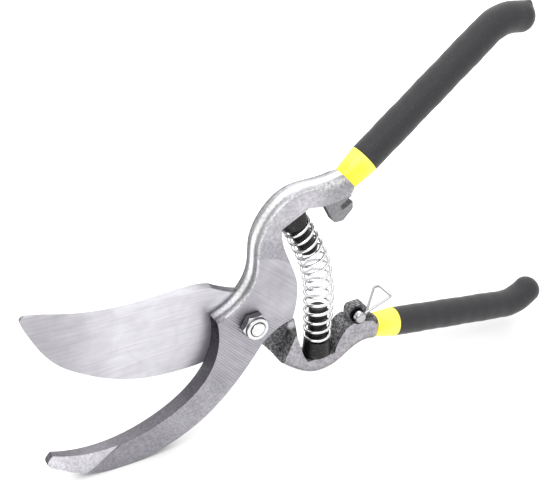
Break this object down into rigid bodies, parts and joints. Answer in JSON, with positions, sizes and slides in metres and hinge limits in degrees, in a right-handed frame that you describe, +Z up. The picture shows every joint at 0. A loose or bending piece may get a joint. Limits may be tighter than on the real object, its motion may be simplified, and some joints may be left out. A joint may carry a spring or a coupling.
{
  "type": "bypass hand pruner",
  "caption": "Forged bypass pruner with sprung jaws, bent dipped grips, hexagon pivot nut and a wire bail lock, standing open.",
  "frame": {"origin": "where the pivot line crosses the ground faces on which the jaws rub", "axes": "+X from the jaws to the grips, +Y from the hook to the blade along the pivot line, +Z up"},
  "size_m": [0.2478, 0.0214, 0.1628],
  "materials": {
    "hook_steel": "coarse ground",
    "blade_steel": "ground",
    "band_yellow": "satin",
    "grip_plastic": "matt, dipped",
    "post_black": "dull",
    "spring_wire": "nickel plated",
    "zinc_plate": "zinc plated",
    "insert_black": "dull",
    "lock_plate": "polished plate"
  },
  "bodies": {
    "hook_half": {"hook_forging": "hook_steel", "upper_band": "band_yellow", "upper_grip": "grip_plastic", "upper_spring_post": "post_black", "coil_spring": "spring_wire", "pivot_bolt": "zinc_plate", "bolt_washer": "zinc_plate", "pivot_nut": "zinc_plate", "nut_insert": "insert_black"},
    "blade_half": {"blade_forging": "blade_steel", "lower_band": "band_yellow", "lower_grip": "grip_plastic", "lower_spring_post": "post_black"},
    "lock": {"lock_pin": "lock_plate", "lock_bail": "lock_plate", "lock_washer": "zinc_plate", "lock_rear_washer": "zinc_plate"}
  },
  "joints": [
    {"name": "pivot", "type": "hinge", "parent": "hook_half", "child": "blade_half", "pos_m": [0, 0, 0], "axis": [0, -1, 0], "range_deg": [0, 45], "stiffness_Nm_per_rad": 1, "springref_deg": -45.84, "deforming": ["coil_spring"]},
    {"name": "lock_turn", "type": "hinge", "parent": "blade_half", "child": "lock", "pos_m": [0.0528, 0, -0.0148], "axis": [0, -1, 0], "range_deg": [-30, 39.5]}
  ]
}
